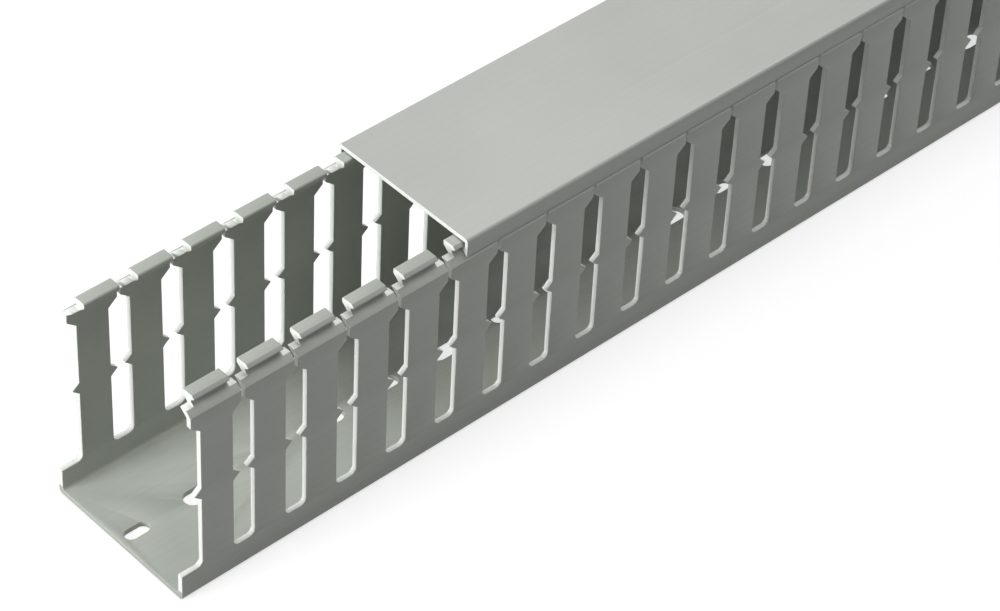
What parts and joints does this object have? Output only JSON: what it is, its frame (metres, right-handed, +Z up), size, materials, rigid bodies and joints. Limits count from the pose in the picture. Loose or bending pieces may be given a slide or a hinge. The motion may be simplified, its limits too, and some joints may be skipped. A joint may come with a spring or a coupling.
{
  "type": "slotted wire duct",
  "caption": "Grey PVC wiring duct: a slotted channel whose flared, nibbed fingers carry a sliding snap-fit cover, with slots in the floor for screws.",
  "frame": {"origin": "middle of the channel's underside", "axes": "+X along the duct, from the end that the cover leaves open; +Y across it; +Z up, from the floor to the cover"},
  "size_m": [1.111, 0.06, 0.08],
  "materials": {
    "channel_pvc": "satin grey PVC",
    "cover_pvc": "satin grey PVC"
  },
  "bodies": {
    "channel": {"slotted_channel": "channel_pvc"},
    "cover": {"snap_cover": "cover_pvc"}
  },
  "joints": [
    {"name": "cover_slide", "type": "slide", "parent": "channel", "child": "cover", "axis": [1, 0, 0], "range_m": [-0.111, 0.4]}
  ]
}
